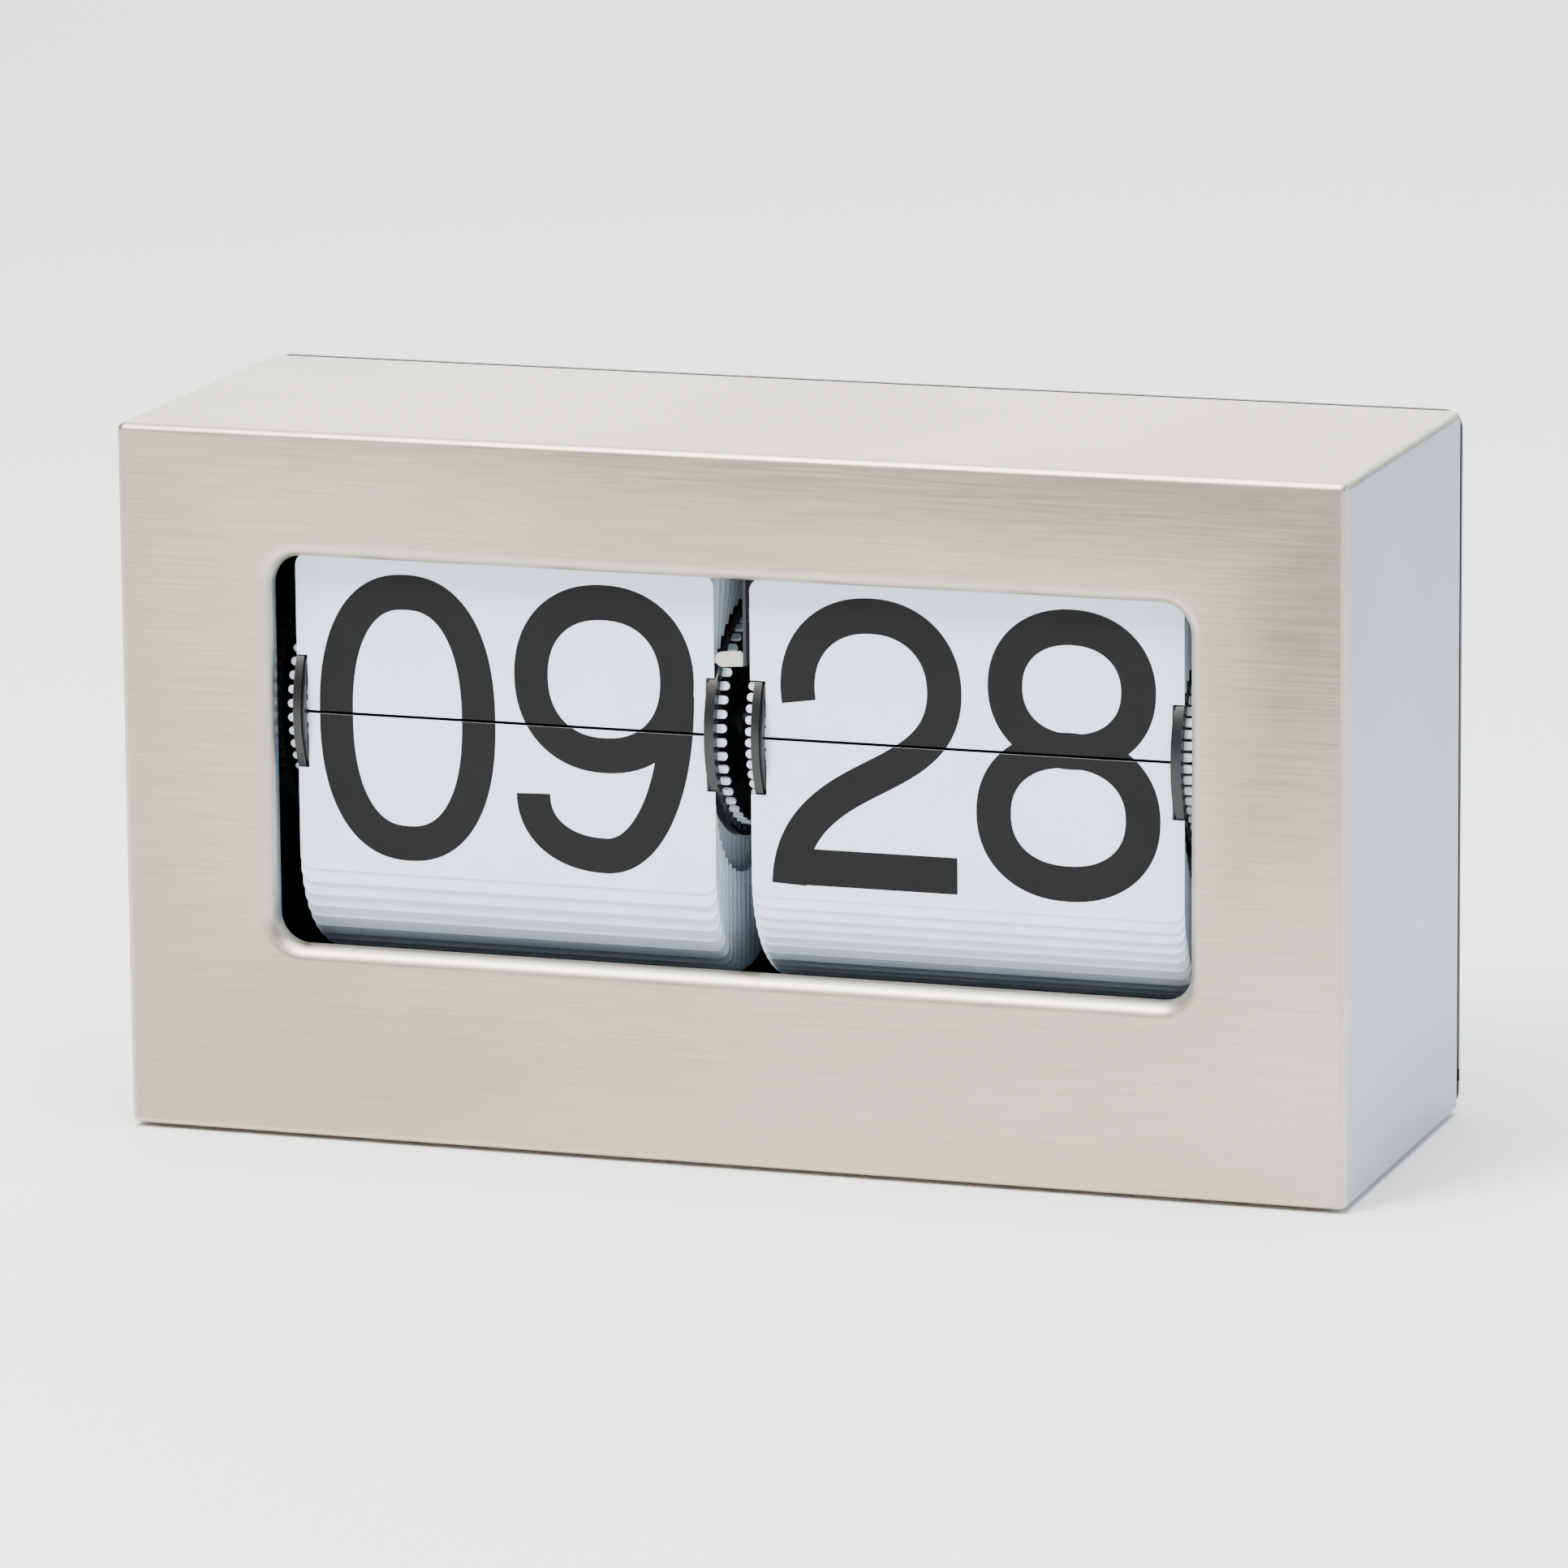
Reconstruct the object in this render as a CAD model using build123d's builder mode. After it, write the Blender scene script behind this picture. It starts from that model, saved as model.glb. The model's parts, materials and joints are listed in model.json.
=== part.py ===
"""Flip number clock: a steel sleeve case with two flap drums on one axle, driven from inside.

Frame: +X to the right seen from the front, +Y towards the back, +Z up, origin on the table
under the middle of the case. Units are millimetres.
"""

from build123d import *
from math import cos, pi, radians, sin
import os

os.makedirs("parts", exist_ok=True)

# ---- driving dimensions ------------------------------------------------------------------
CASE_W = 200.0
CASE_H = 113.0
TOTAL_D = 69.0
STEEL = 0.9
CASE_EDGE_R = 1.2
FOOT_H = 0.6
COVER_T = 1.35
COVER_GAP = 0.8
COVER_CORNER_R = 3.0
COVER_CHAMFER = 0.4

FRONT_Y = -TOTAL_D / 2
BACK_Y = TOTAL_D / 2
COVER_Y = BACK_Y - COVER_T
SHELL_BACK_Y = COVER_Y - COVER_GAP
CASE_MID_Z = FOOT_H + CASE_H / 2
FLOOR_Z = FOOT_H + STEEL

WINDOW_W = 150.0
WINDOW_LOW = FOOT_H + 30.6
WINDOW_HIGH = FOOT_H + 93.0
WINDOW_CORNER_R = 4.8
LIP_DEPTH = 3.5
LIP_ROLL_R = 2.4

DRUM_R = 17.0
FLAP_PLANE_Y = FRONT_Y + 5.3
AXIS_Y = FLAP_PLANE_Y + DRUM_R
AXIS_Z = FOOT_H + 67.5
RIM_R = 19.0
RIM_W = 1.3
STEP_RING_R = 18.5
STEP_RING_W = 0.45
WEB_T = 1.0
HUB_R = 5.0
CORE_R = 12.0
CORE_WALL = 1.0
WEB_POCKET_R = 15.4
WEB_HOLES = 6
WEB_HOLE_R = 2.4
WEB_HOLE_RING_R = 9.0

FLAP_T = 0.15
FLAP_REACH = 24.2
FLAP_CORNER_R = 2.0
NOTCH_PLAY = 0.12
NOTCH_H = 8.8
TAB_H = 1.3
TAB_T = 0.45
TAB_OUT = 1.5
TAB_SLOT_PLAY = 0.1

AXLE_R = 1.5
RUNNING = 0.05
BRACKET_X = 80.5
BRACKET_T = 2.0
TRAY_T = 2.0
TRAY_TOP = FLOOR_Z + TRAY_T

CELL_R = 17.1
CELL_L = 60.0
CELL_Y = 15.3
CELL_Z = TRAY_TOP + 0.3 + CELL_R


class Drum:
    """One flap drum: how many flaps it has and where its flaps stand along the axle."""

    def __init__(self, name, flaps, flap_left, flap_right, drum_left, drum_right, short_end):
        self.name = name
        self.flaps = flaps
        self.flap_left = flap_left
        self.flap_right = flap_right
        self.left = drum_left
        self.right = drum_right
        self.short_end = short_end
        self.pitch = 360.0 / flaps


# the flaps stand a little to one side of their drum, because they have end play
HOUR = Drum("hour", 48, -72.3, -3.0, -72.4, -2.55, 0.87)
MINUTE = Drum("minute", 60, 2.9, 72.9, 3.55, 72.8, 0.65)
FLANGE_W = RIM_W + STEP_RING_W


def at_y(y):
    """The upright plane across the clock at depth y, with its normal towards the front."""
    return Plane.XZ.offset(-y)


def at_x(x):
    """The upright plane along the depth at x, with its own axes along +Y and +Z."""
    return Plane.YZ.offset(x)


def keep(piece, name):
    """Label a finished piece and write it out as its own node."""
    piece.part.label = name
    export_step(piece.part, f"parts/{name}.step")


def disc(x0, x1, y, z, radius, mode=Mode.ADD):
    """A round slab or a bore along X from x0 to x1, inside the open part."""
    with BuildSketch(at_x(x0)) as face:
        with Locations((y, z)):
            Circle(radius)
    extrude(face.sketch, amount=x1 - x0, mode=mode)


def block(x0, x1, y0, y1, z0, z1, mode=Mode.ADD):
    """A plain box between two corners, inside the open part."""
    with Locations(((x0 + x1) / 2, (y0 + y1) / 2, (z0 + z1) / 2)):
        Box(x1 - x0, y1 - y0, z1 - z0, mode=mode)


def gear(x0, x1, y, z, teeth, module, turn=0.0):
    """A spur gear along X whose first tooth points at turn degrees from +Y towards +Z."""
    with BuildSketch(at_x(x0)) as face:
        with Locations((y, z)):
            Circle(module * (teeth / 2 - 1.25))
            with PolarLocations(module * teeth / 2, teeth, start_angle=turn):
                Polygon(
                    (-1.4 * module, -0.98 * module),
                    (0.9 * module, -0.2 * module),
                    (0.9 * module, 0.2 * module),
                    (-1.4 * module, 0.98 * module),
                    align=None,
                )
    extrude(face.sketch, amount=x1 - x0)


# ---- gear train: module, teeth and places ------------------------------------------------
HOUR_TRAIN_D = 21.0
AXLE_PINION_T = 15
IDLER_WHEEL_T = 60
IDLER_PINION_T = 10
HOUR_GEAR_T = 60
OUTER_MODULE = 2 * HOUR_TRAIN_D / (AXLE_PINION_T + IDLER_WHEEL_T)
INNER_MODULE = 2 * HOUR_TRAIN_D / (IDLER_PINION_T + HOUR_GEAR_T)
IDLER_Y = AXIS_Y + HOUR_TRAIN_D
IDLER_PIN_R = 1.0

DRIVE_MODULE = 0.7
DRIVE_GEAR_T = 50
SETTING_GEAR_T = 30
OUTPUT_PINION_T = 10
SETTING_Y = AXIS_Y + DRIVE_MODULE * (DRIVE_GEAR_T + SETTING_GEAR_T) / 2
OUTPUT_D = DRIVE_MODULE * (DRIVE_GEAR_T + OUTPUT_PINION_T) / 2
OUTPUT_ANGLE = -110.0
OUTPUT_Y = AXIS_Y + OUTPUT_D * cos(radians(OUTPUT_ANGLE))
OUTPUT_Z = AXIS_Z + OUTPUT_D * sin(radians(OUTPUT_ANGLE))
THUMB_R = BACK_Y - 0.3 - SETTING_Y

MOTOR_MODULE = 0.4
MOTOR_WHEEL_T = 50
ROTOR_PINION_T = 10
ROTOR_D = MOTOR_MODULE * (MOTOR_WHEEL_T + ROTOR_PINION_T) / 2
ROTOR_Y = OUTPUT_Y
ROTOR_Z = OUTPUT_Z - ROTOR_D
PIVOT_R = 0.6

HOUSING_X0 = BRACKET_X + BRACKET_T
HOUSING_X1 = 96.0
HOUSING_Y0 = OUTPUT_Y - 13.5
HOUSING_Y1 = OUTPUT_Y + 15.5
HOUSING_Z0 = ROTOR_Z - 19.0
HOUSING_Z1 = OUTPUT_Z + 14.5
HOUSING_WALL = 1.2

LEAD_R = 0.5
LEAD_PLAY = 0.3
LEAD_BEND_R = 10 * LEAD_R
LEAD_Y = HOUSING_Y1 - 2.7
POSITIVE_LEAD_Z = HOUSING_Z0 + 6.0
NEGATIVE_LEAD_Z = HOUSING_Z0 + 3.0
LEAD_HEIGHTS = (POSITIVE_LEAD_Z, NEGATIVE_LEAD_Z)


# ---- case --------------------------------------------------------------------------------
def window_outline(grow):
    """The window's rounded rectangle, grown by grow on every side, in the open sketch."""
    with Locations((0, (WINDOW_LOW + WINDOW_HIGH) / 2)):
        RectangleRounded(
            WINDOW_W + 2 * grow,
            WINDOW_HIGH - WINDOW_LOW + 2 * grow,
            WINDOW_CORNER_R + grow,
        )


with BuildPart() as case_shell:
    block(-CASE_W / 2, CASE_W / 2, FRONT_Y, SHELL_BACK_Y, FOOT_H, FOOT_H + CASE_H)
    long_edges = case_shell.edges().filter_by(Axis.Y)
    front_edges = case_shell.faces().sort_by(Axis.Y)[0].edges()
    fillet(long_edges + front_edges, CASE_EDGE_R)
    offset(amount=-STEEL, openings=case_shell.faces().sort_by(Axis.Y)[-1])
    with BuildSketch(at_y(FRONT_Y + LIP_DEPTH)):
        window_outline(STEEL)
    extrude(amount=LIP_DEPTH - STEEL / 2)
    inner_bend = [
        edge
        for edge in case_shell.edges()
        if abs(edge.center().Y - FRONT_Y - STEEL) < 0.01
        and abs(edge.center().X) < WINDOW_W / 2 + 2 * STEEL
        and abs(edge.center().Z - CASE_MID_Z) < CASE_H / 2 - 10
    ]
    fillet(inner_bend, LIP_ROLL_R - STEEL)
    with BuildSketch(at_y(FRONT_Y + LIP_DEPTH)):
        window_outline(0)
    extrude(amount=LIP_DEPTH, mode=Mode.SUBTRACT)
    lip_edges = [
        edge
        for edge in case_shell.faces().sort_by(Axis.Y)[0].edges()
        if abs(edge.center().X) < CASE_W / 2 - 10 and abs(edge.center().Z - CASE_MID_Z) < 40
    ]
    fillet(lip_edges, LIP_ROLL_R)
keep(case_shell, "case_shell")

FOOT_SPOTS = [(sx * 86.0, sy * 24.0) for sx in (-1, 1) for sy in (-1, 1)]
with BuildPart() as rubber_feet:
    with BuildSketch(Plane.XY):
        with Locations(*FOOT_SPOTS):
            Circle(5.0)
    extrude(amount=FOOT_H)
keep(rubber_feet, "rubber_feet")

# ---- back cover, its door and its screws --------------------------------------------------
DOOR_HALF_W = 33.3
DOOR_LOW = FOOT_H + 4.2
DOOR_HIGH = FOOT_H + 38.4
DOOR_PLAY = 0.25
TOP_SCREW_Z = FOOT_H + 93.0
LOW_SCREW_Z = FOOT_H + 10.0
TOP_SCREW_X = 81.5
LOW_SCREW_X = 90.0
TOP_SCREWS = [(side * TOP_SCREW_X, TOP_SCREW_Z) for side in (-1, 1)]
LOW_SCREWS = [(side * LOW_SCREW_X, LOW_SCREW_Z) for side in (-1, 1)]
SCREW_SPOTS = TOP_SCREWS + LOW_SCREWS
SCREW_L = 9.0
SCREW_HEAD_R = 2.6
SCREW_R = 1.1
HEAD_SINK = 0.9
SPIGOT_T = 1.5
SPIGOT_L = 5.5
SPIGOT_PLAY = 0.15
PRY_Z = FOOT_H + 5.7
SLOT_X0 = 83.3
SLOT_X1 = 92.7
SLOT_HALF_H = 9.0

with BuildPart() as back_cover:
    with BuildSketch(at_y(BACK_Y)):
        with Locations((0, CASE_MID_Z)):
            RectangleRounded(CASE_W, CASE_H, COVER_CORNER_R)
    extrude(amount=COVER_T)
    chamfer(back_cover.faces().sort_by(Axis.Y)[-1].edges(), COVER_CHAMFER)
    inner_w = CASE_W - 2 * (STEEL + SPIGOT_PLAY)
    inner_h = CASE_H - 2 * (STEEL + SPIGOT_PLAY)
    with BuildSketch(at_y(COVER_Y)):
        with Locations((0, CASE_MID_Z)):
            RectangleRounded(inner_w, inner_h, 1.5)
            Rectangle(inner_w - 2 * SPIGOT_T, inner_h - 2 * SPIGOT_T, mode=Mode.SUBTRACT)
    extrude(amount=SPIGOT_L)
    with BuildSketch(at_y(BACK_Y)):
        with Locations((0, (DOOR_LOW + DOOR_HIGH) / 2)):
            RectangleRounded(2 * DOOR_HALF_W, DOOR_HIGH - DOOR_LOW, 1.5)
        with Locations(((SLOT_X0 + SLOT_X1) / 2, AXIS_Z)):
            Rectangle(SLOT_X1 - SLOT_X0, 2 * SLOT_HALF_H)
        with Locations(*SCREW_SPOTS):
            Circle(SCREW_R + 0.2)
    extrude(amount=COVER_T, mode=Mode.SUBTRACT)
    with BuildSketch(at_y(BACK_Y)):
        with Locations(*SCREW_SPOTS):
            Circle(SCREW_HEAD_R + 0.3)
    extrude(amount=HEAD_SINK, mode=Mode.SUBTRACT)
    block(98.8, CASE_W / 2 + 1, COVER_Y - 0.1, COVER_Y + 0.8, PRY_Z - 1, PRY_Z + 1, mode=Mode.SUBTRACT)
keep(back_cover, "back_cover")

with BuildPart() as battery_door:
    with BuildSketch(at_y(BACK_Y)):
        with Locations((0, (DOOR_LOW + DOOR_HIGH) / 2)):
            RectangleRounded(2 * (DOOR_HALF_W - DOOR_PLAY), DOOR_HIGH - DOOR_LOW - 2 * DOOR_PLAY, 1.3)
    extrude(amount=COVER_T)
    with BuildSketch(at_y(BACK_Y)):
        with Locations((0, DOOR_HIGH - 5.0)):
            SlotOverall(16.0, 5.0)
    extrude(amount=0.7, mode=Mode.SUBTRACT)
keep(battery_door, "battery_door")

with BuildPart() as back_cover_screws:
    with BuildSketch(at_y(BACK_Y - 0.1)):
        with Locations(*SCREW_SPOTS):
            Circle(SCREW_HEAD_R)
    extrude(amount=HEAD_SINK - 0.1)
    with BuildSketch(at_y(BACK_Y - HEAD_SINK)):
        with Locations(*SCREW_SPOTS):
            Circle(SCREW_R)
    extrude(amount=SCREW_L)
    with BuildSketch(at_y(BACK_Y - 0.1)):
        with Locations(*SCREW_SPOTS):
            Rectangle(2.8, 0.6)
            Rectangle(0.6, 2.8)
    extrude(amount=0.5, mode=Mode.SUBTRACT)
keep(back_cover_screws, "back_cover_screws")

# ---- chassis tray with the battery cradle -------------------------------------------------
TRAY_X = 97.0
TRAY_Y0 = -31.0
TRAY_Y1 = 26.0
CRADLE_X = 34.6
CONTACT_HALF_W = 9.0
CONTACT_RISE = 12.0
LUG_HALF_W = 3.0
LUG_L = 4.0
CRADLE_T = 1.8
CRADLE_REACH = 14.0
RIB_X0 = 16.0
RIB_X1 = 18.0
BOSS_R = 3.0
BOSS_L = 8.0

with BuildPart() as chassis_tray:
    block(-TRAY_X, TRAY_X, TRAY_Y0, TRAY_Y1, FLOOR_Z, TRAY_TOP)
    for side in (-1, 1):
        x0, x1 = sorted((side * CRADLE_X, side * (CRADLE_X + CRADLE_T)))
        block(x0, x1, CELL_Y - CRADLE_REACH, TRAY_Y1, TRAY_TOP, CELL_Z + CONTACT_HALF_W)
        x0, x1 = sorted((side * RIB_X0, side * RIB_X1))
        block(x0, x1, CELL_Y - CRADLE_REACH, CELL_Y + 10, TRAY_TOP, CELL_Z - 10)
    disc(-20, 20, CELL_Y, CELL_Z, CELL_R + 0.3, mode=Mode.SUBTRACT)
    with BuildSketch(at_y(COVER_Y)):
        with Locations(*LOW_SCREWS):
            Circle(BOSS_R)
    extrude(amount=COVER_Y - TRAY_Y1 + BOSS_L)
    for side in (-1, 1):
        x0, x1 = sorted((side * (LOW_SCREW_X - 1.0), side * (LOW_SCREW_X + 1.0)))
        block(x0, x1, TRAY_Y1 - BOSS_L, TRAY_Y1, TRAY_TOP, LOW_SCREW_Z)
    with BuildSketch(at_y(COVER_Y)):
        with Locations(*LOW_SCREWS):
            Circle(SCREW_R)
    extrude(amount=SCREW_L, mode=Mode.SUBTRACT)
keep(chassis_tray, "chassis_tray")

# ---- side brackets that carry the axle ----------------------------------------------------
BUSH_R = 3.0
BRACKET_FOOT_L = 9.0
BRACKET_FOOT_T = 1.6
PLATE_Y0 = -30.0
PLATE_Y1 = 24.0
HORN_Y = 30.0
HORN_Z = TOP_SCREW_Z
SLOPE_RUN = 15.0
TRAY_SCREW_SPOTS = [(sx * (BRACKET_X - 4.0), y) for sx in (-1, 1) for y in (-22.0, 8.0)]


def bracket(side):
    """One side bracket: an upright plate on a screwed foot, with a boss for a cover screw."""
    outer = side * (BRACKET_X + BRACKET_T)
    inner = side * BRACKET_X
    x0, x1 = sorted((inner, outer))
    with BuildPart() as plate:
        with BuildSketch(at_x(x0)):
            with BuildLine():
                Polyline(
                    (PLATE_Y0, TRAY_TOP),
                    (PLATE_Y1, TRAY_TOP),
                    (PLATE_Y1, HORN_Z - 10.0),
                    (HORN_Y, HORN_Z - BOSS_R),
                    (HORN_Y, HORN_Z + BOSS_R),
                    (PLATE_Y0 + SLOPE_RUN, HORN_Z + BOSS_R),
                    (PLATE_Y0, HORN_Z + BOSS_R - SLOPE_RUN),
                    close=True,
                )
            make_face()
        extrude(amount=BRACKET_T)
        f0, f1 = sorted((inner, side * (BRACKET_X - BRACKET_FOOT_L)))
        block(f0, f1, PLATE_Y0 + 2.0, 13.0, TRAY_TOP, TRAY_TOP + BRACKET_FOOT_T)
        with BuildSketch(at_y(COVER_Y)):
            with Locations((side * TOP_SCREW_X, TOP_SCREW_Z)):
                Circle(BOSS_R)
        extrude(amount=12.0)
        with BuildSketch(at_y(COVER_Y)):
            with Locations((side * TOP_SCREW_X, TOP_SCREW_Z)):
                Circle(SCREW_R)
        extrude(amount=SCREW_L, mode=Mode.SUBTRACT)
        disc(x0, x1, AXIS_Y, AXIS_Z, BUSH_R, mode=Mode.SUBTRACT)
        with BuildSketch(Plane.XY.offset(TRAY_TOP)):
            with Locations(*[spot for spot in TRAY_SCREW_SPOTS if spot[0] * side > 0]):
                Circle(SCREW_R)
        extrude(amount=BRACKET_FOOT_T, mode=Mode.SUBTRACT)
        if side > 0:
            disc(x0, x1, SETTING_Y, AXIS_Z, BUSH_R, mode=Mode.SUBTRACT)
            disc(x0, x1, OUTPUT_Y, OUTPUT_Z, 2.2, mode=Mode.SUBTRACT)
            for lead_z in LEAD_HEIGHTS:
                disc(x0, x1, LEAD_Y, lead_z, LEAD_R + LEAD_PLAY, mode=Mode.SUBTRACT)
        else:
            disc(x0, x1, IDLER_Y, AXIS_Z, IDLER_PIN_R, mode=Mode.SUBTRACT)
    return plate


keep(bracket(-1), "left_bracket")
keep(bracket(1), "right_bracket")

with BuildPart() as bracket_screws:
    with BuildSketch(Plane.XY.offset(TRAY_TOP + BRACKET_FOOT_T)):
        with Locations(*TRAY_SCREW_SPOTS):
            Circle(2.2)
    extrude(amount=1.2)
    with BuildSketch(Plane.XY.offset(TRAY_TOP)):
        with Locations(*TRAY_SCREW_SPOTS):
            Circle(SCREW_R)
    extrude(amount=BRACKET_FOOT_T)
keep(bracket_screws, "bracket_screws")


def bush(x0, x1, y, z):
    """A plain bronze bush in a bracket, with a running fit round its shaft."""
    disc(x0, x1, y, z, BUSH_R)
    disc(x0, x1, y, z, AXLE_R + RUNNING, mode=Mode.SUBTRACT)


with BuildPart() as bronze_bushes:
    bush(-BRACKET_X - BRACKET_T, -BRACKET_X, AXIS_Y, AXIS_Z)
    bush(BRACKET_X, BRACKET_X + BRACKET_T, AXIS_Y, AXIS_Z)
    bush(BRACKET_X, BRACKET_X + BRACKET_T, SETTING_Y, AXIS_Z)
keep(bronze_bushes, "bronze_bushes")

# ---- inner frame behind the front panel, with the flap retainers --------------------------
FRAME_Y0 = FRONT_Y + STEEL + 0.1
FRAME_Y1 = FRONT_Y + STEEL + 1.3
FRAME_HALF_W = 82.0
POST_X0 = 1.9
POST_X1 = 2.4
POST_TOP = FOOT_H + 99.0
CLIP_Z = FOOT_H + 79.8
CLIP_H = 2.4
CLIP_T = 0.2
CLIP_TILT = 4.5
CLIP_LEFT = HOUR.flap_right + 0.35
CLIP_Y0 = FLAP_PLANE_Y - 0.55
SPRING_X0 = 36.0
SPRING_X1 = 42.0
SPRING_Y1 = FLAP_PLANE_Y + 0.3
SPRING_TOP = FOOT_H + 97.2

with BuildPart() as flap_frame:
    with BuildSketch(at_y(FRAME_Y1)):
        with Locations((0, CASE_MID_Z)):
            RectangleRounded(2 * FRAME_HALF_W, CASE_H - 6, 3.0)
        with Locations((0, (WINDOW_LOW + WINDOW_HIGH) / 2)):
            Rectangle(WINDOW_W + 7, WINDOW_HIGH - WINDOW_LOW + 7, mode=Mode.SUBTRACT)
    extrude(amount=FRAME_Y1 - FRAME_Y0)
    block(POST_X0, POST_X1, FRAME_Y1 - 0.2, FLAP_PLANE_Y + 1.0, POST_TOP - 2.0, POST_TOP)
    block(POST_X0, POST_X1, CLIP_Y0 + 0.1, FLAP_PLANE_Y + 1.0, CLIP_Z - 1.0, POST_TOP)
keep(flap_frame, "flap_frame")

with BuildPart() as hour_flap_clip:
    with BuildSketch(at_y(CLIP_Y0 + CLIP_T)):
        clip_l = POST_X0 - CLIP_LEFT - 0.1
        with Locations(Location(((CLIP_LEFT + POST_X0 - 0.1) / 2, CLIP_Z, 0), (0, 0, CLIP_TILT))):
            SlotOverall(clip_l - 0.1, CLIP_H)
            with Locations((clip_l / 4, 0)):
                Rectangle(clip_l / 2 - 0.1, CLIP_H)
    extrude(amount=CLIP_T)
    block(POST_X0 - 0.32, POST_X0, CLIP_Y0 + 0.05, FLAP_PLANE_Y + 0.9, CLIP_Z - 0.9, CLIP_Z + 1.1)
keep(hour_flap_clip, "hour_flap_clip")

with BuildPart() as minute_flap_spring:
    block(SPRING_X0, SPRING_X1, FRAME_Y1, SPRING_Y1, SPRING_TOP - CLIP_T, SPRING_TOP)
    block(SPRING_X0, SPRING_X1, SPRING_Y1 - CLIP_T, SPRING_Y1, SPRING_TOP - 3.9, SPRING_TOP - CLIP_T)
keep(minute_flap_spring, "minute_flap_spring")

# ---- flaps -------------------------------------------------------------------------------
def flap_angle(drum, step):
    """Where a flap's pivot stands on the drum, in degrees up from the front, at that step."""
    return drum.pitch * (step + 0.5)


def flap_lean(drum, step):
    """How far a flap leans back from upright: tangent over the top, hanging below."""
    if 0 <= step <= drum.flaps // 2:
        return drum.pitch * step
    return 180.0


def flap(drum, step):
    """One flap of a drum, standing from its pivot, inside the open part."""
    angle = radians(flap_angle(drum, step))
    pivot_y = AXIS_Y - DRUM_R * cos(angle)
    pivot_z = AXIS_Z + DRUM_R * sin(angle)
    lean = radians(flap_lean(drum, step))
    up = Vector(0, sin(lean), cos(lean))
    left = drum.flap_left
    right = drum.flap_right
    left_notch = drum.left + FLANGE_W + NOTCH_PLAY
    right_notch = drum.right - FLANGE_W - NOTCH_PLAY
    shoulder = NOTCH_H - drum.short_end
    base = -drum.short_end if step in (0, -1) else 0.0
    tip = FLAP_REACH
    leaf = Plane((0, pivot_y, pivot_z), x_dir=(1, 0, 0), z_dir=Vector(1, 0, 0).cross(up))
    with BuildSketch(leaf) as outline:
        with BuildLine():
            Polyline(
                (right, tip - FLAP_CORNER_R),
                (right, shoulder),
                (right_notch, shoulder),
                (right_notch, base),
                (left_notch, base),
                (left_notch, shoulder),
                (left, shoulder),
                (left, tip - FLAP_CORNER_R),
            )
            RadiusArc((left, tip - FLAP_CORNER_R), (left + FLAP_CORNER_R, tip), FLAP_CORNER_R)
            Line((left + FLAP_CORNER_R, tip), (right - FLAP_CORNER_R, tip))
            RadiusArc((right - FLAP_CORNER_R, tip), (right, tip - FLAP_CORNER_R), FLAP_CORNER_R)
        make_face()
    extrude(outline.sketch, amount=FLAP_T / 2, both=True)


for drum in (HOUR, MINUTE):
    top = drum.flaps // 2
    groups = {
        f"{drum.name}_front_flap": [0],
        f"{drum.name}_lower_flap": [-1],
        f"{drum.name}_flaps_upper": range(1, top + 1),
        f"{drum.name}_flaps_hanging": range(top + 1, drum.flaps - 1),
    }
    for group, steps in groups.items():
        with BuildPart() as flaps:
            for step in steps:
                flap(drum, step)
        keep(flaps, group)


# ---- drums -------------------------------------------------------------------------------
def flange(drum, side, bore):
    """A drum's end flange: a stepped rim with one slot for each flap's tab, a web and a hub."""
    outer = drum.left if side < 0 else drum.right
    step = outer - side * RIM_W
    inner = step - side * STEP_RING_W
    x0, x1 = sorted((outer, inner))
    with BuildPart() as ring:
        disc(*sorted((outer, step)), AXIS_Y, AXIS_Z, RIM_R)
        disc(*sorted((step, inner)), AXIS_Y, AXIS_Z, STEP_RING_R)
        pocket = outer - side * (FLANGE_W - WEB_T)
        disc(*sorted((outer, pocket)), AXIS_Y, AXIS_Z, WEB_POCKET_R, mode=Mode.SUBTRACT)
        disc(x0, x1, AXIS_Y, AXIS_Z, HUB_R)
        with BuildSketch(at_x(x0)):
            with Locations((AXIS_Y, AXIS_Z)):
                Circle(bore)
                with PolarLocations(WEB_HOLE_RING_R, WEB_HOLES):
                    Circle(WEB_HOLE_R)
                with PolarLocations(DRUM_R, drum.flaps, start_angle=drum.pitch / 2):
                    Rectangle(TAB_T + 2 * TAB_SLOT_PLAY, TAB_H + 2 * TAB_SLOT_PLAY)
        extrude(amount=x1 - x0, mode=Mode.SUBTRACT)
    return ring


def tabs(drum, side):
    """The tabs that carry one side of a drum's flaps, through and just past the flange."""
    outer = drum.left if side < 0 else drum.right
    root = outer - side * (FLANGE_W + NOTCH_PLAY - RUNNING)
    end = outer + side * TAB_OUT
    x0, x1 = sorted((root, end))
    with BuildPart() as row:
        with BuildSketch(at_x(x0)):
            with Locations((AXIS_Y, AXIS_Z)):
                with PolarLocations(DRUM_R, drum.flaps, start_angle=drum.pitch / 2):
                    Rectangle(TAB_T, TAB_H)
        extrude(amount=x1 - x0)
        end_face = row.faces().sort_by(Axis.X)[-1 if side > 0 else 0].center().X
        ends = [
            edge
            for edge in row.edges()
            if abs(edge.center().X - end_face) < 0.01 and abs(edge.length - TAB_T) < 0.01
        ]
        fillet(ends, TAB_H / 2 - 0.02)
    return row


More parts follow.
